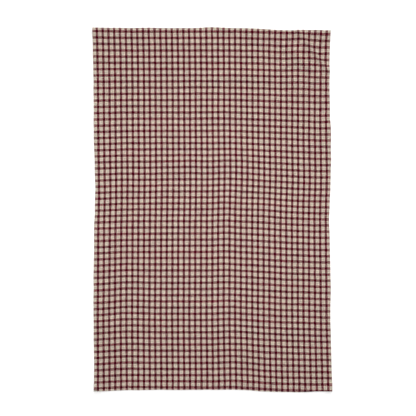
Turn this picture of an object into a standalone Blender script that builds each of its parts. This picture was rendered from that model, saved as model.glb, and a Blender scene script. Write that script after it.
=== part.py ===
"""A tea towel lying open and flat: one length of checked cotton, narrowly hemmed on all four edges.

Metres, +Z up. The towel lies on the plane Z = 0 with its length along Y and its width along X, face up.
The origin is under the middle of its bounding box. Threads that run along Y are the warp, those along X
the weft. The sheet is laid out from its woven rectangle: every point of the rectangle shifts a little
with the cloth's lie, and rises where the cloth keeps a crease or a low ripple.
"""
from collections import namedtuple
from math import cos, hypot, pi

import bmesh
import bpy

MM = 0.001

# Driving dimensions, in millimetres.
WIDTH = 464.0
LENGTH = 711.0
CLOTH_THICKNESS = 1.2
HEM_WIDTH = 10.0
HEM_STEP = 3.0
HEM_BUILD_UP = 0.8
EDGE_ROUND = 0.5
COLUMNS_INSIDE = 26
ROWS_INSIDE = 40

# How the cloth lies, section by section from its top edge to its bottom edge. y is where the section
# crosses the middle of the towel. The warp columns are how far the left edge, the middle and the right
# edge have slid towards +X. middle_up is how far the weft has slid towards +Y in the middle, and
# ripple_up how much further along the long ripple. left_down and right_down are how much further down
# it lies at the two sides.
Section = namedtuple(
    "Section", "y warp_left warp_middle warp_right middle_up ripple_up left_down right_down"
)
SECTIONS = (
    Section(355, -3.0, -1.0, 0.6, 0.4, 0.0, -1.0, 4.0),
    Section(312, -2.0, -0.4, -1.2, -0.6, 0.0, -0.6, 5.8),
    Section(253, -1.0, 0.3, -1.0, -1.0, 0.0, 0.6, 4.4),
    Section(159, -0.4, 0.8, -0.4, -2.0, 0.4, 1.6, 7.0),
    Section(65, 0.8, 1.2, 0.4, -0.6, 0.9, 1.4, 9.0),
    Section(18, 1.2, 0.8, -1.2, 0.2, 1.5, 2.2, 9.2),
    Section(-29, 0.0, 0.0, -1.8, 1.8, 1.4, 2.0, 8.4),
    Section(-123, -0.8, -0.2, 0.0, 1.5, 1.2, 2.8, 8.2),
    Section(-218, -1.2, -0.4, 0.2, 0.8, 1.0, 3.2, 7.2),
    Section(-312, -0.8, 0.8, 2.2, 0.8, 0.6, 3.0, 6.6),
    Section(-355, -0.6, 1.2, 3.4, 1.0, 0.6, 2.8, 5.2),
)
LEFT_DROP_REACH = 80.0
RIGHT_DROP_START = 18.0
RIGHT_DROP_END = 212.0
LONG_RIPPLE_X = 26.0
LONG_RIPPLE_HALF = 34.0

# Creases and low ripples that the cloth keeps: a ridge from one end to the other, with its height,
# half its width, and the length over which each end dies away.
Ridge = namedtuple("Ridge", "name x0 y0 x1 y1 height half_width fade")
RIDGES = (
    Ridge("middle fold", -232, 1, 232, 6, 1.0, 18, 6),
    Ridge("quarter fold", -75, 100, 100, 107, 0.8, 17, 50),
    Ridge("long ripple", 30, 95, 22, -356, 1.6, 34, 90),
    Ridge("left ripple", -205, -80, -207, -356, 1.2, 26, 110),
    Ridge("right ripple", 128, 190, 150, -300, 1.4, 60, 120),
    Ridge("corner crease, long", 136, 356, 232, 262, 2.4, 17, 24),
    Ridge("corner crease, short", 176, 356, 232, 300, 1.8, 15, 16),
    Ridge("corner crease, inner", 132, 316, 196, 244, 1.4, 17, 30),
)


def smooth_step(low, high, value):
    """0 below low, 1 above high, and a smooth rise between them."""
    t = min(max((value - low) / (high - low), 0.0), 1.0)
    return t * t * (3 - 2 * t)


def section_at(y):
    """The lie of the cloth at y, by a smooth curve through the sections above and below it."""
    last = len(SECTIONS) - 1
    below = next((i for i in range(1, last) if SECTIONS[i].y <= y), last)
    upper, lower = SECTIONS[below - 1], SECTIONS[below]
    before = SECTIONS[max(below - 2, 0)]
    after = SECTIONS[min(below + 1, last)]
    t = (upper.y - y) / (upper.y - lower.y)
    columns = zip(before, upper, lower, after)
    return Section(*(
        b + t * (c - a) / 2 + t * t * (a - 2.5 * b + 2 * c - d / 2) + t ** 3 * (1.5 * (b - c) + (d - a) / 2)
        for a, b, c, d in columns
    ))


def lie(x, y):
    """Where the point (x, y) of the woven rectangle lies on the surface."""
    s = section_at(y)
    across = 2 * x / WIDTH
    lean = s.warp_middle * (1 - across ** 2)
    lean += s.warp_left * across * (across - 1) / 2 + s.warp_right * across * (across + 1) / 2
    left = 1 - smooth_step(-WIDTH / 2, -WIDTH / 2 + LEFT_DROP_REACH, x)
    right = smooth_step(RIGHT_DROP_START, RIGHT_DROP_END, x)
    ripple = smooth_step(LONG_RIPPLE_HALF, 0, abs(x - LONG_RIPPLE_X))
    return x + lean, y + s.middle_up + s.ripple_up * ripple - s.left_down * left - s.right_down * right


def ridge_lift(ridge, x, y):
    """How far one ridge lifts the cloth at (x, y)."""
    along_x, along_y = ridge.x1 - ridge.x0, ridge.y1 - ridge.y0
    length = hypot(along_x, along_y)
    along = ((x - ridge.x0) * along_x + (y - ridge.y0) * along_y) / length
    aside = abs((x - ridge.x0) * along_y - (y - ridge.y0) * along_x) / length
    if aside >= ridge.half_width or not 0 < along < length:
        return 0.0
    ends = smooth_step(0, ridge.fade, along) * smooth_step(0, ridge.fade, length - along)
    return ridge.height * ends * cos(pi / 2 * aside / ridge.half_width) ** 2


def thickness(x, y):
    """One layer of cloth inside, and the turned-under hem's extra layers along each edge."""
    side = smooth_step(HEM_WIDTH + HEM_STEP, HEM_WIDTH, WIDTH / 2 - abs(x))
    end = smooth_step(HEM_WIDTH + HEM_STEP, HEM_WIDTH, LENGTH / 2 - abs(y))
    return CLOTH_THICKNESS + HEM_BUILD_UP * (side + end)


def line_places(length, inside):
    """Where the grid's lines cross one direction: at the edge, the hem's two lines, then evenly."""
    half = length / 2
    inner = half - HEM_WIDTH - HEM_STEP
    even = [-inner + 2 * inner * k / inside for k in range(inside + 1)]
    hem = [half, half - HEM_WIDTH]
    return [-h for h in hem] + even + hem[::-1]


def towel_mesh():
    """The towel as one closed sheet: a grid laid out on the surface, then given its thickness."""
    bm = bmesh.new()
    xs = line_places(WIDTH, COLUMNS_INSIDE)
    ys = line_places(LENGTH, ROWS_INSIDE)
    bmesh.ops.create_grid(bm, x_segments=len(xs) - 1, y_segments=len(ys) - 1, size=1)
    woven = {}
    for v in bm.verts:
        column = round((v.co.x + 1) / 2 * (len(xs) - 1))
        row = round((v.co.y + 1) / 2 * (len(ys) - 1))
        woven[v] = (xs[column], ys[row])
        v.co.x, v.co.y = lie(*woven[v])
        v.co.z = sum(ridge_lift(ridge, *woven[v]) for ridge in RIDGES)
    thick = {v.co.to_tuple(4): thickness(*woven[v]) for v in bm.verts}

    raised = bmesh.ops.extrude_face_region(bm, geom=bm.faces[:], use_keep_orig=True)["geom"]
    for v in (g for g in raised if isinstance(g, bmesh.types.BMVert)):
        v.co.z += thick[v.co.to_tuple(4)]
    bmesh.ops.recalc_face_normals(bm, faces=bm.faces)

    rim = [e for e in bm.edges if e.calc_face_angle(0) > pi / 4]
    bmesh.ops.bevel(bm, geom=rim, offset=EDGE_ROUND, affect="EDGES", segments=1, profile=0.5, material=-1)

    places = [v.co for v in bm.verts]
    middle_x = (min(p.x for p in places) + max(p.x for p in places)) / 2
    middle_y = (min(p.y for p in places) + max(p.y for p in places)) / 2
    bmesh.ops.translate(bm, verts=bm.verts, vec=(-middle_x, -middle_y, 0))
    bmesh.ops.scale(bm, verts=bm.verts, vec=(MM, MM, MM))
    mesh = bpy.data.meshes.new("towel")
    bm.to_mesh(mesh)
    bm.free()
    return mesh


def checked_cotton():
    """Yarn-dyed cotton, at the colour that its burgundy and tan threads make together."""
    material = bpy.data.materials.new("checked_cotton")
    material.use_nodes = True
    shader = material.node_tree.nodes["Principled BSDF"]
    shader.inputs["Base Color"].default_value = (0.31, 0.19, 0.17, 1)
    shader.inputs["Roughness"].default_value = 0.9
    shader.inputs["Metallic"].default_value = 0.0
    return material


for old in list(bpy.data.objects):
    bpy.data.objects.remove(old)

towel = bpy.data.objects.new("towel", towel_mesh())
towel.data.materials.append(checked_cotton())
bpy.context.scene.collection.objects.link(towel)
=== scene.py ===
"""A tea towel of checked cotton, lying open and flat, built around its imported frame. Metres, +Z up."""
from collections import namedtuple
from math import cos, pi, sin

import bmesh
import bpy
from mathutils import Matrix, Vector, noise


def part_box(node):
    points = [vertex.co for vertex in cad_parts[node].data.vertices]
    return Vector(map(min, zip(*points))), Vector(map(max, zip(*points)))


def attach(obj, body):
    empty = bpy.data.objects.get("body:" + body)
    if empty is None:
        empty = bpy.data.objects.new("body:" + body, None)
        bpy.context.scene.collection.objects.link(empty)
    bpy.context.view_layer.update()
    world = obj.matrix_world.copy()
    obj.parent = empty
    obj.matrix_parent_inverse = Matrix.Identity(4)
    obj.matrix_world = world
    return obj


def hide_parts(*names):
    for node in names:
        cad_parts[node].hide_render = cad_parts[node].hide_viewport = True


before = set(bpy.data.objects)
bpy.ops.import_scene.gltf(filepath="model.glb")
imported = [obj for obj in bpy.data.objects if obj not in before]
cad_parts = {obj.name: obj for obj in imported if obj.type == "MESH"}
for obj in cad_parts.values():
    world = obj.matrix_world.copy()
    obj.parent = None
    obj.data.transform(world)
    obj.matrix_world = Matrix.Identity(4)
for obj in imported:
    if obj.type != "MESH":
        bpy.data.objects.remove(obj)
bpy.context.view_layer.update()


# ---- The cloth ---------------------------------------------------------------------------------
# One length of plain-weave cotton, woven from yarns dyed burgundy and tan, 8 threads of one and 11 of
# the other in turn both ways, which gives a small even check. All four edges are turned under twice
# into a narrow hem, the long sides first and then the two ends over them.
MM = 0.001
WIDTH, LENGTH = 464 * MM, 711 * MM
CLOTH_THICKNESS = 0.40 * MM

# The hems, built up in layers of cloth with a little air between them: the width that shows underneath and
# the width tucked inside it, how far in from a hem the face comes down, and the layers under the face.
LAYER = 0.45 * MM
HEM_WIDTH, TUCKED_WIDTH = 9.5 * MM, 7.5 * MM
COME_DOWN, CORNER_COME_DOWN = 13 * MM, 8 * MM
HEM_LAYERS, CORNER_LAYERS = 2, 8

# How tightly a hem bends at its outer fold and at its tucked one. Both are wider at the corners, where an
# end hem folds a side hem's three layers at once.
OUTER_BEND, CORNER_OUTER_BEND = LAYER, 4 * LAYER
INNER_BEND, CORNER_INNER_BEND = LAYER / 2, 2.5 * LAYER
BEND_STEPS, RUN_STEPS = 4, 3

# The grid's lines, in millimetres: close together over the hems, given as distances from the edge, and then
# in zones, each up to a place and with its own cell, which is small where the cloth is sharply creased.
BORDER_LINES = (1.5, 3.5, 5.5, 7.5, 8.5, 9.5, 11, 13.5, 17, 21, 25)
Zone = namedtuple("Zone", "up_to cell")
COLUMN_ZONES = (Zone(120, 4.4), Zone(207, 2.2))
ROW_ZONES = (Zone(-8, 4.4), Zone(22, 1.5), Zone(225, 4.4), Zone(330.5, 2.2))

# How the cloth lies, section by section down its length, in millimetres. The warp columns are how far
# the left edge, the middle and the right edge have slid towards +X. middle_up is how far the weft has
# slid towards +Y in the middle, ripple_up how much further along the long ripple, and left_down and
# right_down how much further down it lies at the two sides.
Section = namedtuple(
    "Section", "y warp_left warp_middle warp_right middle_up ripple_up left_down right_down"
)
SECTIONS = (
    Section(355, -3.0, -1.0, 0.6, 0.4, 0.0, -1.0, 4.0),
    Section(312, -2.0, -0.4, -1.2, -0.6, 0.0, -0.6, 5.8),
    Section(253, -1.0, 0.3, -1.0, -1.0, 0.0, 0.6, 4.4),
    Section(159, -0.2, 0.8, -0.8, -2.0, 0.4, 1.8, 6.4),
    Section(65, 1.0, 1.2, 0.2, -0.6, 0.9, 2.4, 8.0),
    Section(18, 1.2, 0.8, -1.4, 0.5, 1.5, 2.8, 8.0),
    Section(-29, 0.0, 0.0, -1.8, 1.8, 1.4, 2.5, 8.4),
    Section(-123, -0.7, -0.2, -0.7, 1.5, 1.2, 2.8, 8.2),
    Section(-218, -1.2, -0.4, 0.0, 0.8, 1.0, 2.6, 7.2),
    Section(-312, -0.8, 0.8, 2.3, 0.8, 0.6, 2.4, 6.6),
    Section(-355, -0.6, 1.2, 3.5, 1.0, 0.6, 2.5, 5.2),
)
LEFT_DROP_REACH = 80 * MM
RIGHT_DROP_START, RIGHT_DROP_END = 24 * MM, 216 * MM
LONG_RIPPLE_X, LONG_RIPPLE_HALF = 26 * MM, 34 * MM

# Places where the cloth was nudged as it was smoothed out, in millimetres: where, how far around, and how
# far it has slid there towards +X and +Y.
Nudge = namedtuple("Nudge", "x y reach_x reach_y right up")
NUDGES = (
    Nudge(176, 319, 38, 50, 0.0, 2.4),
    Nudge(198, 297, 20, 26, 0.3, 1.4),
    Nudge(224, 340, 20, 28, -0.8, -1.4),
    Nudge(212, 180, 32, 50, -0.5, -0.7),
    Nudge(96, 310, 34, 34, 0.0, 0.6),
    Nudge(170, 256, 42, 52, 0.2, 1.7),
    Nudge(-20, 240, 60, 34, 0.0, 0.7),
    Nudge(160, 134, 75, 75, -0.5, 0.8),
    Nudge(0, 186, 50, 60, -0.5, 0.7),
    Nudge(52, 80, 55, 60, 0.5, 0.9),
    Nudge(-50, 88, 36, 45, 0.0, 0.8),
    Nudge(-136, 78, 50, 75, 0.0, -0.9),
    Nudge(-144, 24, 56, 45, -0.6, -0.8),
    Nudge(-150, -62, 95, 42, 0.0, -0.8),
    Nudge(99, 4, 60, 42, 0.0, 1.2),
    Nudge(182, -8, 60, 30, 0.0, 0.6),
    Nudge(-174, -212, 72, 190, 0.0, 1.7),
    Nudge(-212, -188, 50, 60, 0.0, -0.8),
    Nudge(52, -275, 50, 190, 0.0, 1.2),
    Nudge(182, -180, 42, 170, -0.3, 0.9),
    Nudge(123, -318, 50, 70, 0.0, -1.0),
    Nudge(94, -292, 38, 42, 0.0, -0.7),
    Nudge(214, -300, 30, 60, 0.0, 0.8),
)

# The hems are turned by hand, so each folded edge strays. A stray is where that is most, how far it
# reaches along the edge to either side, and how far inwards the fold lies there, all in millimetres.
Stray = namedtuple("Stray", "edge place reach inwards")
STRAYS = (
    Stray("left", 96, 28, 1.0),
    Stray("left", 40, 55, 1.5),
    Stray("left", -9, 24, 1.2),
    Stray("left", -75, 55, 0.5),
    Stray("left", -160, 26, 0.6),
    Stray("left", -250, 24, -0.5),
    Stray("left", -290, 120, 1.2),
    Stray("right", 253, 30, 0.9),
    Stray("right", 226, 24, 0.8),
    Stray("right", 156, 44, -1.8),
    Stray("right", 108, 32, -1.5),
    Stray("right", -16, 34, 1.0),
    Stray("right", -115, 50, -0.5),
    Stray("right", -150, 32, -1.2),
    Stray("top", -130, 30, -0.6),
    Stray("top", 0, 42, -1.6),
    Stray("top", 106, 17, 0.7),
    Stray("top", 126, 24, 1.5),
    Stray("top", 148, 20, 1.5),
    Stray("top", 164, 16, 1.2),
    Stray("top", 204, 24, -0.5),
    Stray("bottom", -108, 44, 0.9),
    Stray("bottom", -20, 46, 0.9),
    Stray("bottom", 90, 22, -0.9),
    Stray("bottom", 192, 34, 1.3),
    Stray("bottom", 225, 50, 2.8),
)
STRAY_DEPTH = 26 * MM

# Small strays run along every edge: how far they go and how long they are, and how far apart the four
# edges read them, in one slice of the noise.
JITTER, JITTER_LENGTH = 0.5 * MM, 22 * MM
JITTER_SPACING, JITTER_SLICE = 7.7, 0.4

# The cloth of the bottom hem is stretched a little towards the right.
HEM_CREEP_LEFT, HEM_CREEP_RIGHT, HEM_CREEP_REACH = -0.9 * MM, 1.8 * MM, 30 * MM

# Creases and low ripples that the cloth keeps, in millimetres: a ridge from one end to the other, its
# height, half its width, and the length over which each end dies away.
Ridge = namedtuple("Ridge", "name x0 y0 x1 y1 height half_width fade")
RIDGES = (
    Ridge("middle fold", -240, 6, 240, 7, 0.6, 15, 4),
    Ridge("middle fold, left crest", -240, 11, 130, 13, 0.35, 3, 30),
    Ridge("middle fold, left trough", -240, -1, 120, 0, -0.3, 3, 30),
    Ridge("middle fold, right crest", 90, 20, 240, 24, 0.3, 3, 20),
    Ridge("middle fold, right trough", 90, 9, 240, 12, -0.3, 3, 20),
    Ridge("quarter fold", -75, 100, 100, 107, 0.6, 8, 50),
    Ridge("long ripple", 30, 95, 22, -356, 1.3, 30, 90),
    Ridge("left ripple", -205, -80, -207, -356, 1.0, 22, 110),
    Ridge("right ripple", 128, 190, 150, -300, 1.2, 55, 120),
    Ridge("corner crease, outer", 161, 362, 235, 271, 3.2, 6.2, 12),
    Ridge("corner crease, inner", 148, 328, 205, 267, 2.8, 10, 22),
)
RIDGE_DRAW_REACH = 40 * MM

# Cotton that has been folded and smoothed out again stays slightly wavy, and puckers along its hems: each
# kind of wave's size across and along, its height, and the slice of the noise that it is read from.
Wave = namedtuple("Wave", "across along height noise_slice")
BROAD_WAVE = Wave(48 * MM, 85 * MM, 0.40 * MM, 0.3)
SMALL_WAVE = Wave(13 * MM, 17 * MM, 0.08 * MM, 4.1)
PUCKER = Wave(6 * MM, 6 * MM, 0.20 * MM, 8.7)
PUCKER_START, PUCKER_END = 7 * MM, 26 * MM
WAVES_LIFT = 0.15 * MM


def smooth_step(low, high, value):
    """0 at low, 1 at high, and a smooth rise between them."""
    t = min(max((value - low) / (high - low), 0.0), 1.0)
    return t * t * (3 - 2 * t)


def section_at(y):
    """The lie of the cloth at y, by a smooth curve through the sections above and below it."""
    y_mm = y / MM
    last = len(SECTIONS) - 1
    below = next((i for i in range(1, last) if SECTIONS[i].y <= y_mm), last)
    upper, lower = SECTIONS[below - 1], SECTIONS[below]
    before, after = SECTIONS[max(below - 2, 0)], SECTIONS[min(below + 1, last)]
    t = (upper.y - y_mm) / (upper.y - lower.y)
    columns = []
    for a, b, c, d in zip(before, upper, lower, after):
        curve = b + t * (c - a) / 2 + t ** 2 * (a - 2.5 * b + 2 * c - d / 2)
        columns.append(MM * (curve + t ** 3 * (1.5 * (b - c) + (d - a) / 2)))
    return Section(*columns)


def lie(x, y):
    """Where the point (x, y) of the straight towel lies on the surface."""
    s = section_at(y)
    across = 2 * x / WIDTH
    lean = s.warp_middle * (1 - across ** 2)
    lean += s.warp_left * across * (across - 1) / 2 + s.warp_right * across * (across + 1) / 2
    left = 1 - smooth_step(-WIDTH / 2, -WIDTH / 2 + LEFT_DROP_REACH, x)
    right = smooth_step(RIGHT_DROP_START, RIGHT_DROP_END, x)
    ripple = smooth_step(LONG_RIPPLE_HALF, 0, abs(x - LONG_RIPPLE_X))
    lain = Vector((
        x + lean, y + s.middle_up + s.ripple_up * ripple - s.left_down * left - s.right_down * right,
    ))
    for nudge in NUDGES:
        away = ((x / MM - nudge.x) / nudge.reach_x) ** 2 + ((y / MM - nudge.y) / nudge.reach_y) ** 2
        lain += MM * Vector((nudge.right, nudge.up)) * (1 - min(away, 1)) ** 2
    return lain


def ridge_move(ridge, x, y):
    """How one ridge moves the cloth at (x, y): up on the ridge, and drawn in towards it at its sides, by as
    much cloth as goes up and over it."""
    along_way = Vector(((ridge.x1 - ridge.x0) * MM, (ridge.y1 - ridge.y0) * MM))
    length = along_way.length
    along_way /= length
    from_start = Vector((x - ridge.x0 * MM, y - ridge.y0 * MM))
    along = from_start.dot(along_way)
    aside = from_start.cross(along_way)
    half = ridge.half_width * MM
    if abs(aside) >= RIDGE_DRAW_REACH or not 0 < along < length:
        return Vector((0, 0, 0))
    ends = smooth_step(0, ridge.fade * MM, along) * smooth_step(0, ridge.fade * MM, length - along)
    height = ridge.height * MM * ends
    lift = height * cos(pi / 2 * min(abs(aside) / half, 1)) ** 2
    # Over one side of a ridge the cloth is (pi height)^2 / (16 half) longer than straight across.
    drawn = (pi * height) ** 2 / (16 * half) * smooth_step(RIDGE_DRAW_REACH, half, abs(aside))
    drawn *= max(-1, min(aside / half, 1))
    return Vector((-along_way.y * drawn, along_way.x * drawn, lift))


def wave_height(wave, x, y):
    """How high one kind of wave stands at (x, y)."""
    return wave.height * noise.noise(Vector((x / wave.across, y / wave.along, wave.noise_slice)))


def unevenness(x, y):
    """How high the cloth's slight waviness lifts it at (x, y)."""
    to_edge = min(WIDTH / 2 - abs(x), LENGTH / 2 - abs(y))
    puckered = smooth_step(PUCKER_END, PUCKER_START, to_edge)
    waves = wave_height(BROAD_WAVE, x, y) + wave_height(SMALL_WAVE, x, y)
    return max(0.0, WAVES_LIFT + waves + puckered * wave_height(PUCKER, x, y))


def fold_stray(x, y):
    """How far the hems' folded edges stray from their straight lines at (x, y), dying away inwards."""
    to_edge = {
        "left": WIDTH / 2 + x,
        "right": WIDTH / 2 - x,
        "top": LENGTH / 2 - y,
        "bottom": LENGTH / 2 + y,
    }
    inwards = {
        "left": Vector((1, 0)),
        "right": Vector((-1, 0)),
        "top": Vector((0, -1)),
        "bottom": Vector((0, 1)),
    }
    stray = Vector((0, 0))
    for number, (edge, distance) in enumerate(to_edge.items()):
        place = y if edge in ("left", "right") else x
        read_at = Vector((place / JITTER_LENGTH, JITTER_SPACING * number, JITTER_SLICE))
        amount = JITTER * noise.noise(read_at)
        for fold in STRAYS:
            if fold.edge == edge:
                away = min(abs(place / MM - fold.place) / fold.reach, 1)
                amount += fold.inwards * MM * cos(pi / 2 * away) ** 2
        stray += inwards[edge] * amount * smooth_step(STRAY_DEPTH, 0, distance)
    return stray


def side_hem_share(x):
    """1 on the side hems, where an end hem folds three layers at once, and 0 away from them."""
    return smooth_step(HEM_WIDTH + CORNER_COME_DOWN, HEM_WIDTH, WIDTH / 2 - abs(x))


def height_on_hems(x, y):
    """How high the face stands on the hems folded under it."""
    on_side_hem = smooth_step(HEM_WIDTH + COME_DOWN, HEM_WIDTH, WIDTH / 2 - abs(x))
    on_end_hem = smooth_step(HEM_WIDTH + COME_DOWN, HEM_WIDTH, LENGTH / 2 - abs(y))
    end_layers = HEM_LAYERS + (CORNER_LAYERS - HEM_LAYERS) * side_hem_share(x)
    return LAYER * (HEM_LAYERS * on_side_hem * (1 - on_end_hem) + end_layers * on_end_hem)


def laid(point):
    """A point of the straight towel, moved to where it lies on the surface."""
    stray = fold_stray(point.x, point.y)
    lain = lie(point.x + stray.x, point.y + stray.y)
    moved = Vector((lain.x, lain.y, point.z + unevenness(point.x, point.y)))
    for ridge in RIDGES:
        moved += ridge_move(ridge, point.x, point.y)
    return moved


def hem_path(bend_out, bend_in):
    """The hem's section from its outer fold to its tucked raw edge. Each line has its distance from the
    towel's edge, its depth under the face, how far it has turned, and the cloth used since the fold."""
    lines = []
    for k in range(BEND_STEPS + 1):
        turn = pi * k / BEND_STEPS
        lines.append((bend_out * (1 - sin(turn)), bend_out * (1 - cos(turn)), turn, bend_out * turn))
    run = HEM_WIDTH - bend_out - bend_in
    used = pi * bend_out
    for k in range(1, RUN_STEPS + 1):
        back = run * k / RUN_STEPS
        lines.append((bend_out + back, 2 * bend_out, pi, used + back))
    used += run
    for k in range(1, BEND_STEPS + 1):
        turn = pi * k / BEND_STEPS
        depth = 2 * bend_out - bend_in * (1 - cos(turn))
        lines.append((bend_out + run + bend_in * sin(turn), depth, pi + turn, used + bend_in * turn))
    used += pi * bend_in
    for k in range(1, RUN_STEPS + 1):
        tuck = TUCKED_WIDTH * k / RUN_STEPS
        lines.append((bend_out + run - tuck, 2 * (bend_out - bend_in), 2 * pi, used + tuck))
    return lines


def face_lines(length, zones):
    """The grid's lines on the face, from edge to edge, as distances from the middle."""
    border = [length / 2 - distance * MM for distance in BORDER_LINES]
    lines = [-b for b in border]
    for zone in zones:
        start, width = lines[-1], zone.up_to * MM - lines[-1]
        cells = round(width / (zone.cell * MM))
        lines += [start + width * k / cells for k in range(1, cells + 1)]
    return lines[:-1] + border[::-1]


def line_station(line, lines, length, path):
    """One grid line of the folded cloth: its place, its depth, how far it has turned, its place on the flat
    cloth, and the side it is folded under, if it is."""
    hem_lines = len(path)
    if hem_lines <= line < hem_lines + len(lines):
        place = lines[line - hem_lines]
        return place, 0.0, 0.0, place, 0
    side = -1 if line < hem_lines else 1
    step = hem_lines - 1 - line if side < 0 else line - hem_lines - len(lines)
    from_edge, depth, turn, used = path[step]
    return side * (length / 2 - from_edge), depth, turn, side * (length / 2 - path[0][0] + used), side


def folded_point(column, row, xs, ys):
    """A grid point of the straight towel with its hems folded, and its place on the flat cloth."""
    side_path = hem_path(OUTER_BEND, INNER_BEND)
    x, depth, _, flat_x, _ = line_station(column, xs, WIDTH, side_path)
    share = side_hem_share(x)
    end_path = hem_path(
        OUTER_BEND + (CORNER_OUTER_BEND - OUTER_BEND) * share,
        INNER_BEND + (CORNER_INNER_BEND - INNER_BEND) * share,
    )
    y, end_depth, end_turn, flat_y, end = line_station(row, ys, LENGTH, end_path)
    y -= end * sin(end_turn) * depth
    z = CLOTH_THICKNESS / 2 + height_on_hems(x, y) - end_depth - cos(end_turn) * depth
    creep = HEM_CREEP_LEFT + (HEM_CREEP_RIGHT - HEM_CREEP_LEFT) * smooth_step(-WIDTH / 2, WIDTH / 2, x)
    flat_y += creep * smooth_step(-LENGTH / 2 + HEM_CREEP_REACH, -LENGTH / 2, y)
    return Vector((x, y, z)), Vector((flat_x, flat_y)) + fold_stray(x, y)


def to_linear(colour):
    """An sRGB hex colour as linear red, green, blue and alpha."""
    parts = [int(colour[i:i + 2], 16) / 255 for i in (1, 3, 5)]
    return [c / 12.92 if c <= 0.04045 else ((c + 0.055) / 1.055) ** 2.4 for c in parts] + [1.0]


def put(tree, kind, inputs, output=0, **settings):
    """Adds a node with its settings and inputs, each a value or another node's output; gives its output."""
    made = tree.nodes.new(kind)
    for name, value in settings.items():
        setattr(made, name, value)
    for name, value in inputs.items():
        if isinstance(value, bpy.types.NodeSocket):
            tree.links.new(value, made.inputs[name])
        else:
            made.inputs[name].default_value = value
    return made.outputs[output] if made.outputs else None


# The check's repeat and where its first stripes fall, measured on the flat cloth.
REPEAT_X, REPEAT_Y = 11.20 * MM, 12.05 * MM
FIRST_STRIPE_X = -WIDTH / 2 + 8.5 * MM
FIRST_STRIPE_Y = LENGTH / 2 - 6.9 * MM
REPEAT_THREADS = 19
BURGUNDY_THREADS = 8
BURGUNDY, DEEP_BURGUNDY = "#690F2C", "#430B18"
# The tan band's yarns, from its sides to its middle, and how many of its threads lie between that yarn's
# first and last. Those beside the burgundy have taken a little of its dye, and the middle ones are darker.
TanYarn = namedtuple("TanYarn", "colour threads")
TAN_YARNS = (TanYarn("#DCB3AC", 11), TanYarn("#DFD4C0", 9), TanYarn("#C7BDAB", 3))

# How unevenly the yarn is spun and dyed: along which axis each set of threads is counted, the length over
# which a thread keeps its tone, and how far tones spread. The tones are read from a noise, a step further
# for each next thread, and nearly all of its values lie between the two given here.
YarnTone = namedtuple("YarnTone", "axis length spread")
YARN_TONES = (YarnTone(0, 50 * MM, 0.27), YarnTone(1, 180 * MM, 0.62))
THREAD_STEP, TONE_SLICE = 1.7, 3.3
NOISE_LOW, NOISE_HIGH = 0.3, 0.7
SLUB_LENGTH, SLUB_SHARE = 13 * MM, 0.6
HUE_SHARE = 0.25

# How loosely it is woven: how far the yarn wanders, how much more a burgundy thread covers than a tan one,
# how gradually one thread gives way to the next, the scale and strength of the patches, and how loose a
# patch is where the shade painted into the gaps starts to widen and where it is widest, with its widths and
# the light it leaves.
WANDER, WANDER_SCALE = 1.0 * MM, 0.07 / MM
WARP_COVER, WEFT_COVER = 0.69, 0.53
CHANGEOVER = 0.2
PATCH_SCALE, PATCH_STRENGTH = 0.7 / MM, 2.6
LOOSE_FROM, LOOSE_TO = 0.35, 0.65
GAP_CLOSE, GAP_OPEN, GAP_LIGHT = 0.1, 1.0, 0.35

# How high a thread stands at its crown, and the share that its fullness has in that.
THREAD_RELIEF, FULLNESS_SHARE = 0.1 * MM, 0.6


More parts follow.
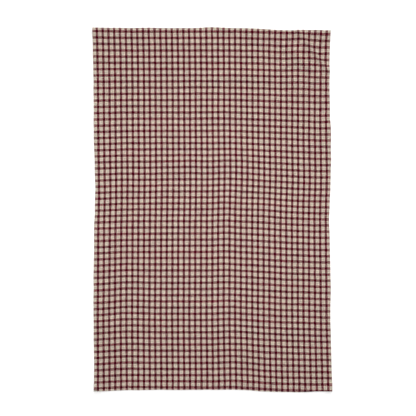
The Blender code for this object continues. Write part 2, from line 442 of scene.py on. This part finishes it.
def yarn_dyed_cotton():
    """Plain-weave cotton in burgundy and tan yarn: dull, and a little uneven as homespun is. The threads
    are at their real spacing, about 0.6 mm, so a step away they show as half tones where colours cross. The
    shade between the threads is painted into the colour."""
    material = bpy.data.materials.new("yarn_dyed_plain_weave_cotton")
    material.use_nodes = True
    tree = material.node_tree
    tree.nodes.clear()
    flat_cloth = put(tree, "ShaderNodeUVMap", {}, uv_map="flat_cloth")

    # Homespun yarn wanders a little from its straight line.
    wander = put(
        tree, "ShaderNodeTexNoise", {"Vector": flat_cloth, "Scale": WANDER_SCALE, "Detail": 2.0}, output=1
    )
    wander = put(tree, "ShaderNodeVectorMath", {0: wander, 1: (0.5, 0.5, 0.5)}, operation="SUBTRACT")
    wander = put(tree, "ShaderNodeVectorMath", {0: wander, 1: (WANDER, WANDER, 0)}, operation="MULTIPLY")
    place = put(tree, "ShaderNodeVectorMath", {0: flat_cloth, 1: wander}, operation="ADD")

    # Each thread's number, counted from the first burgundy one, and where it falls in the check's repeat.
    end, pick = REPEAT_X / REPEAT_THREADS, REPEAT_Y / REPEAT_THREADS
    start = (FIRST_STRIPE_X - end * BURGUNDY_THREADS / 2, FIRST_STRIPE_Y - pick * BURGUNDY_THREADS / 2, 0)
    place = put(tree, "ShaderNodeVectorMath", {0: place, 1: start}, operation="SUBTRACT")
    counted = put(tree, "ShaderNodeVectorMath", {0: place, 1: (1 / end, 1 / pick, 1)}, operation="MULTIPLY")
    number = put(tree, "ShaderNodeVectorMath", {0: counted}, operation="FLOOR")
    repeats = put(tree, "ShaderNodeVectorMath", {0: number, 3: 1 / REPEAT_THREADS}, operation="SCALE")
    repeats = put(tree, "ShaderNodeVectorMath", {0: repeats}, operation="FRACTION")

    # For the warp and for the weft: how it waves over and under, which threads are dyed, and the tans.
    dyed_up_to = (BURGUNDY_THREADS - 0.5) / REPEAT_THREADS
    tan_middle = (REPEAT_THREADS + BURGUNDY_THREADS - 1) / 2 / REPEAT_THREADS
    waves, dyed, undyed = [], [], []
    for axis in (0, 1):
        wave = put(tree, "ShaderNodeSeparateXYZ", {0: counted}, output=axis)
        wave = put(tree, "ShaderNodeMath", {0: wave, 1: pi}, operation="MULTIPLY")
        waves.append(put(tree, "ShaderNodeMath", {0: wave}, operation="SINE"))
        in_repeat = put(tree, "ShaderNodeSeparateXYZ", {0: repeats}, output=axis)
        dyed.append(put(tree, "ShaderNodeMath", {0: in_repeat, 1: dyed_up_to}, operation="LESS_THAN"))
        tan = to_linear(TAN_YARNS[0].colour)
        for yarn in TAN_YARNS[1:]:
            within = put(tree, "ShaderNodeMath", {
                0: in_repeat, 1: tan_middle, 2: yarn.threads / 2 / REPEAT_THREADS,
            }, operation="COMPARE")
            tan = put(
                tree, "ShaderNodeMix", {0: within, 6: tan, 7: to_linear(yarn.colour)}, output=2,
                data_type="RGBA",
            )
        undyed.append(tan)

    # Over and under: positive where the warp thread is on top. The dyed yarn is fuller, and covers more. In
    # patches of a few threads, the one yarn or the other stands out more, and the cloth is more open, which
    # widens the shade painted between its threads further on.
    weave = put(tree, "ShaderNodeMath", {0: waves[0], 1: waves[1]}, operation="MULTIPLY")
    patches = put(
        tree, "ShaderNodeTexNoise", {"Vector": flat_cloth, "Scale": PATCH_SCALE, "Detail": 1.0}, output=1
    )
    balance = put(tree, "ShaderNodeSeparateXYZ", {0: patches}, output=0)
    looseness = put(tree, "ShaderNodeSeparateXYZ", {0: patches}, output=1)
    balance = put(tree, "ShaderNodeMath", {0: balance, 1: 0.5}, operation="SUBTRACT")
    fuller = weave
    for threads, cover in ((balance, PATCH_STRENGTH), (dyed[0], WARP_COVER), (dyed[1], -WEFT_COVER)):
        fuller = put(tree, "ShaderNodeMath", {0: threads, 1: cover, 2: fuller}, operation="MULTIPLY_ADD")
    warp_on_top = put(
        tree, "ShaderNodeMapRange", {"Value": fuller, "From Min": -CHANGEOVER, "From Max": CHANGEOVER},
        interpolation_type="SMOOTHSTEP",
    )

    # Where both yarns are burgundy, less light comes back through the cloth, and the crossing is deeper.
    both = put(tree, "ShaderNodeMath", {0: dyed[0], 1: dyed[1]}, operation="MULTIPLY")
    burgundy = put(
        tree, "ShaderNodeMix", {0: both, 6: to_linear(BURGUNDY), 7: to_linear(DEEP_BURGUNDY)}, output=2,
        data_type="RGBA",
    )

    # Each thread differs from the next in fullness and dye: the warp is the evener, while a pick of weft
    # may keep its own tone across much of the towel. Both have slubs a centimetre or so long.
    colours, yarns = [], []
    for axis, tone_length, spread in YARN_TONES:
        thread_number = put(tree, "ShaderNodeSeparateXYZ", {0: number}, output=axis)
        along = put(tree, "ShaderNodeSeparateXYZ", {0: flat_cloth}, output=1 - axis)
        tones = []
        for length, detail in ((tone_length, 1.0), (SLUB_LENGTH, 3.0)):
            thread = put(tree, "ShaderNodeCombineXYZ", {
                0: put(tree, "ShaderNodeMath", {0: thread_number, 1: THREAD_STEP}, operation="MULTIPLY"),
                1: put(tree, "ShaderNodeMath", {0: along, 1: 1 / length}, operation="MULTIPLY"),
                2: TONE_SLICE + axis,
            })
            tones.append(put(tree, "ShaderNodeTexNoise", {
                "Vector": thread, "Scale": 1.0, "Detail": detail, "Roughness": 0.75,
            }, output=1))
        tone = put(
            tree, "ShaderNodeMix", {0: SLUB_SHARE, 6: tones[0], 7: tones[1]}, output=2, data_type="RGBA"
        )
        yarn = put(tree, "ShaderNodeMapRange", {
            6: tone, 7: (NOISE_LOW,) * 3, 8: (NOISE_HIGH,) * 3, 9: (1 - spread,) * 3, 10: (1 + spread,) * 3,
        }, output=1, data_type="FLOAT_VECTOR", clamp=False)
        # The burgundy took its dye less evenly than the tan, so its tones differ about three times as
        # much: each is multiplied in twice more.
        differing = yarn
        for _ in range(2):
            differing = put(
                tree, "ShaderNodeMix", {0: dyed[axis], 6: differing, 7: yarn}, output=2, data_type="RGBA",
                blend_type="MULTIPLY",
            )
        yarns.append(differing)
        colours.append(put(
            tree, "ShaderNodeMix", {0: dyed[axis], 6: undyed[axis], 7: burgundy}, output=2, data_type="RGBA"
        ))
    colour = put(
        tree, "ShaderNodeMix", {0: warp_on_top, 6: colours[1], 7: colours[0]}, output=2, data_type="RGBA"
    )
    yarn = put(
        tree, "ShaderNodeMix", {0: warp_on_top, 6: yarns[1], 7: yarns[0]}, output=2, data_type="RGBA"
    )
    fullness = put(tree, "ShaderNodeRGBToBW", {0: yarn})
    tone = put(tree, "ShaderNodeMix", {0: HUE_SHARE, 6: fullness, 7: yarn}, output=2, data_type="RGBA")
    colour = put(
        tree, "ShaderNodeMix", {0: 1.0, 6: colour, 7: tone}, output=2, data_type="RGBA",
        blend_type="MULTIPLY",
    )

    # Painted shade: between the crowns of the threads the colour is darkened, the more so where the cloth
    # is open, standing in for the shade that falls into the gaps.
    crown = put(tree, "ShaderNodeMath", {0: weave}, operation="ABSOLUTE")
    gap = put(tree, "ShaderNodeMapRange", {
        "Value": looseness, "From Min": LOOSE_FROM, "From Max": LOOSE_TO,
        "To Min": GAP_CLOSE, "To Max": GAP_OPEN,
    })
    painted_gap_shade = put(
        tree, "ShaderNodeMapRange", {"Value": crown, "From Max": gap, "To Min": GAP_LIGHT},
        interpolation_type="SMOOTHSTEP",
    )
    colour = put(
        tree, "ShaderNodeMix", {0: 1.0, 6: colour, 7: painted_gap_shade}, output=2, data_type="RGBA",
        blend_type="MULTIPLY",
    )

    # Each float of thread is a small crown, and fuller yarn stands a little higher.
    relief = put(
        tree, "ShaderNodeMath", {0: fullness, 1: FULLNESS_SHARE, 2: crown}, operation="MULTIPLY_ADD"
    )
    bump = put(tree, "ShaderNodeBump", {"Strength": 0.5, "Distance": THREAD_RELIEF, "Height": relief})
    shader = put(tree, "ShaderNodeBsdfPrincipled", {
        "Base Color": colour, "Roughness": 0.9, "Specular IOR Level": 0.0, "Normal": bump,
    })
    put(tree, "ShaderNodeOutputMaterial", {"Surface": shader})
    return material


def towel_cloth():
    """The towel: a grid of its flat cloth, folded at the hems, laid out and given its thickness."""
    xs, ys = face_lines(WIDTH, COLUMN_ZONES), face_lines(LENGTH, ROW_ZONES)
    hem_lines = len(hem_path(OUTER_BEND, INNER_BEND))
    columns, rows = len(xs) + 2 * hem_lines, len(ys) + 2 * hem_lines
    bm = bmesh.new()
    bmesh.ops.create_grid(bm, x_segments=columns - 1, y_segments=rows - 1, size=1)
    on_flat_cloth = {}
    for v in bm.verts:
        column = round((v.co.x + 1) / 2 * (columns - 1))
        row = round((v.co.y + 1) / 2 * (rows - 1))
        point, on_flat_cloth[v] = folded_point(column, row, xs, ys)
        v.co = laid(point)
    flat_cloth = bm.loops.layers.uv.new("flat_cloth")
    for face in bm.faces:
        for loop in face.loops:
            loop[flat_cloth].uv = on_flat_cloth[loop.vert]
    mesh = bpy.data.meshes.new("towel_cloth")
    bm.to_mesh(mesh)
    bm.free()
    mesh.shade_smooth()
    cloth = bpy.data.objects.new("towel_cloth", mesh)
    bpy.context.scene.collection.objects.link(cloth)
    thickness = cloth.modifiers.new("cloth thickness", "SOLIDIFY")
    thickness.thickness = CLOTH_THICKNESS
    thickness.offset = 0
    return cloth


cloth = towel_cloth()
cloth.data.materials.append(yarn_dyed_cotton())

# The towel is centred where the frame has it.
low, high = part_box("towel")
xs = [v.co.x for v in cloth.data.vertices]
ys = [v.co.y for v in cloth.data.vertices]
middle = (low + high) / 2
to_its_place = Matrix.Translation((
    middle.x - (min(xs) + max(xs)) / 2, middle.y - (min(ys) + max(ys)) / 2, low.z,
))
cloth.data.transform(to_its_place)
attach(cloth, "root")
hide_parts("towel")


# ---- The hem stitching -------------------------------------------------------------------------
# Burgundy cotton sewing thread holds the hems, in one straight row 7.5 mm in from each edge, on the first
# burgundy stripe. The side rows were sewn first, so the end hems cover their last stitches underneath.
STITCH_LINE = 7.5 * MM
FIRST_STITCH = 2 * MM
STITCH_PITCH = 2.9 * MM
STITCH_LENGTH, STITCH_WIDTH, STITCH_HEIGHT = 2.5 * MM, 0.34 * MM, 0.30 * MM
THREAD_BURGUNDY = "#5E1228"
TWIST_SCALE, TWIST_RELIEF = 0.35 / MM, 0.05 * MM

# How deep a row lies under the middle of the face: on top of it, or sunk a little into the underside.
ON_FACE, ON_UNDERSIDE = -CLOTH_THICKNESS / 2, HEM_LAYERS * LAYER + 0.3 * CLOTH_THICKNESS


def one_stitch():
    """A single stitch, sunk into the cloth at both ends."""
    bm = bmesh.new()
    bmesh.ops.create_uvsphere(bm, u_segments=6, v_segments=4, radius=0.5)
    bmesh.ops.rotate(bm, verts=bm.verts, matrix=Matrix.Rotation(pi / 2, 3, "Y"))
    bmesh.ops.scale(bm, verts=bm.verts, vec=(STITCH_LENGTH, STITCH_WIDTH, STITCH_HEIGHT))
    mesh = bpy.data.meshes.new("one_stitch")
    bm.to_mesh(mesh)
    bm.free()
    return mesh


def sew(bm, stitch, start, end, depth):
    """Sews one straight row from start to end, at its depth under the middle of the face."""
    way = end - start
    count = round(way.length / STITCH_PITCH)
    for k in range(count):
        x, y = start + way * (k + 0.5) / count
        ahead = way.normalized() * STITCH_LENGTH / 2
        z = CLOTH_THICKNESS / 2 + height_on_hems(x, y) - depth
        front = laid(Vector((x + ahead.x, y + ahead.y, z)))
        back = laid(Vector((x - ahead.x, y - ahead.y, z)))
        turn = (front - back).to_track_quat("X", "Z").to_matrix().to_4x4()
        sewn = stitch.copy()
        sewn.transform(Matrix.Translation((front + back) / 2) @ turn)
        bm.from_mesh(sewn)
        bpy.data.meshes.remove(sewn)


def cotton_sewing_thread():
    """Mercerised two-ply cotton thread: smoother than the cloth, with its twist showing as a fine slant, in
    its bumps and in painted light and shade.
    """
    material = bpy.data.materials.new("cotton_sewing_thread")
    material.use_nodes = True
    tree = material.node_tree
    tree.nodes.clear()
    place = put(tree, "ShaderNodeTexCoord", {}, output=3)
    twist = put(tree, "ShaderNodeTexWave", {
        "Vector": place, "Scale": TWIST_SCALE, "Distortion": 1.5, "Detail": 1.0,
    }, output=1, bands_direction="DIAGONAL")
    # Painted light and shade: the colour is darkened along the twist's grooves and lightened along its
    # crests.
    painted_twist_shade = put(tree, "ShaderNodeMapRange", {"Value": twist, "To Min": 0.75, "To Max": 1.1})
    colour = put(
        tree, "ShaderNodeMix", {0: 1.0, 6: to_linear(THREAD_BURGUNDY), 7: painted_twist_shade}, output=2,
        data_type="RGBA", blend_type="MULTIPLY",
    )
    bump = put(tree, "ShaderNodeBump", {"Strength": 0.4, "Distance": TWIST_RELIEF, "Height": twist})
    shader = put(tree, "ShaderNodeBsdfPrincipled", {
        "Base Color": colour, "Roughness": 0.6, "Specular IOR Level": 0.3, "Normal": bump,
    })
    put(tree, "ShaderNodeOutputMaterial", {"Surface": shader})
    return material


stitch = one_stitch()
bm = bmesh.new()
for from_edge, depth in ((FIRST_STITCH, ON_FACE), (HEM_WIDTH, ON_UNDERSIDE)):
    for x in (STITCH_LINE - WIDTH / 2, WIDTH / 2 - STITCH_LINE):
        sew(bm, stitch, Vector((x, from_edge - LENGTH / 2)), Vector((x, LENGTH / 2 - from_edge)), depth)
    for y in (STITCH_LINE - LENGTH / 2, LENGTH / 2 - STITCH_LINE):
        sew(bm, stitch, Vector((from_edge - WIDTH / 2, y)), Vector((WIDTH / 2 - from_edge, y)), depth)
mesh = bpy.data.meshes.new("hem_stitches")
bm.to_mesh(mesh)
bm.free()
mesh.shade_smooth()
hem_stitches = bpy.data.objects.new("hem_stitches", mesh)
bpy.context.scene.collection.objects.link(hem_stitches)
hem_stitches.data.materials.append(cotton_sewing_thread())
hem_stitches.data.transform(to_its_place)
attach(hem_stitches, "root")


# ---- The studio --------------------------------------------------------------------------------
# A pale sheet of paper lies under the towel on a light table, whose faint glow takes up the shadows, in the
# even light of a white room. A softbox overhead lights the middle a little more than the ends, and a second
# one beyond the top end shows the creases.
FLOOR_HALF, FLOOR_GAP = 15.0, 0.2 * MM
PAPER_WHITE, PAPER_GLOW = "#FEFEFE", 0.13
ROOM_BRIGHTNESS = 0.69
LIT_PLACE = Vector((0, 0.02, 0))
Softbox = namedtuple("Softbox", "name place size watts")
SOFTBOXES = (
    Softbox("overhead softbox", Vector((0, 0.02, 0.62)), 0.4, 1.58),
    Softbox("softbox beyond the top end", Vector((0.5, 4.6, 1.8)), 2.0, 147),
)

floor_mesh = bpy.data.meshes.new("studio_floor")
bm = bmesh.new()
bmesh.ops.create_grid(bm, x_segments=1, y_segments=1, size=FLOOR_HALF)
bmesh.ops.translate(bm, verts=bm.verts, vec=(0, 0, -FLOOR_GAP))
bm.to_mesh(floor_mesh)
bm.free()
studio_floor = bpy.data.objects.new("studio_floor", floor_mesh)
bpy.context.scene.collection.objects.link(studio_floor)
paper = bpy.data.materials.new("pale_studio_paper")
paper.use_nodes = True
paper.node_tree.nodes.clear()
paper_shader = put(paper.node_tree, "ShaderNodeBsdfPrincipled", {
    "Base Color": to_linear(PAPER_WHITE), "Roughness": 0.9, "Specular IOR Level": 0.1,
    "Emission Color": (1, 1, 1, 1), "Emission Strength": PAPER_GLOW,
})
put(paper.node_tree, "ShaderNodeOutputMaterial", {"Surface": paper_shader})
floor_mesh.materials.append(paper)

room = bpy.data.worlds.new("white_room")
bpy.context.scene.world = room
room.use_nodes = True
room.node_tree.nodes.clear()
room_light = put(room.node_tree, "ShaderNodeBackground", {
    "Color": (1, 1, 1, 1), "Strength": ROOM_BRIGHTNESS,
})
put(room.node_tree, "ShaderNodeOutputWorld", {"Surface": room_light})

for box in SOFTBOXES:
    lamp = bpy.data.lights.new(box.name, "AREA")
    lamp.shape = "SQUARE"
    lamp.size = box.size
    lamp.energy = box.watts
    softbox = bpy.data.objects.new(box.name, lamp)
    softbox.location = box.place
    softbox.rotation_euler = (box.place - LIT_PLACE).to_track_quat("Z", "Y").to_euler()
    softbox.visible_camera = False
    bpy.context.scene.collection.objects.link(softbox)

# The camera looks straight down from a little to one side of the towel's middle, with its top end at the
# top, and takes in a square of floor this wide, in metres. Its lens and sensor are in millimetres.
VIEW_WIDTH = 0.8166
CAMERA_ASIDE = Vector((-8.5 * MM, 3.35 * MM))
LENS, SENSOR_WIDTH = 180, 36
camera_data = bpy.data.cameras.new("camera")
camera_data.lens = LENS
camera_data.sensor_width = SENSOR_WIDTH
camera_data.clip_end = 100
camera = bpy.data.objects.new("camera", camera_data)
camera.location = (
    middle.x + CAMERA_ASIDE.x, middle.y + CAMERA_ASIDE.y, VIEW_WIDTH * LENS / SENSOR_WIDTH,
)
bpy.context.scene.collection.objects.link(camera)
bpy.context.scene.camera = camera
bpy.context.scene.view_settings.view_transform = "Standard"


# ---- Bringing the scene up to date -------------------------------------------------------------
bpy.context.view_layer.update()
